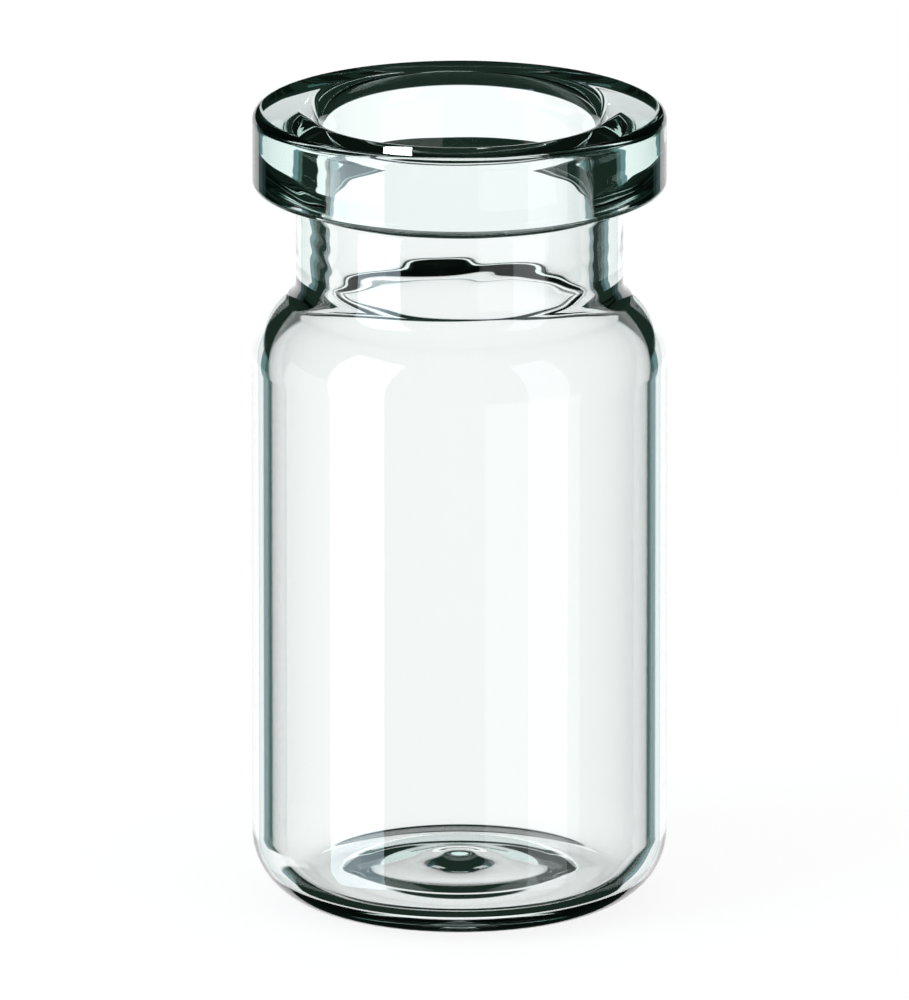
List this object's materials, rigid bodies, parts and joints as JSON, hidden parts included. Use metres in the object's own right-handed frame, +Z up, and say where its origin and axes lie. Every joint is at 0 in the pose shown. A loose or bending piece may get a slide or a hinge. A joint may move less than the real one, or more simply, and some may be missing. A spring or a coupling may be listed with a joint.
{
  "type": "glass sample vial",
  "caption": "Clear glass sample vial with an open mouth, a short neck, a solid flange for a crimped cap and a pushed-up base.",
  "frame": {"origin": "centre of the standing ring, on the surface the vial stands on", "axes": "+Z up along the vial's axis, out of the mouth; X and Y are alike, because the vial is turned about Z"},
  "size_m": [0.0198, 0.0198, 0.0388],
  "materials": {
    "clear_glass": "clear, fire polished, faint green tint"
  },
  "bodies": {
    "root": {"vial": "clear_glass"}
  },
  "joints": []
}
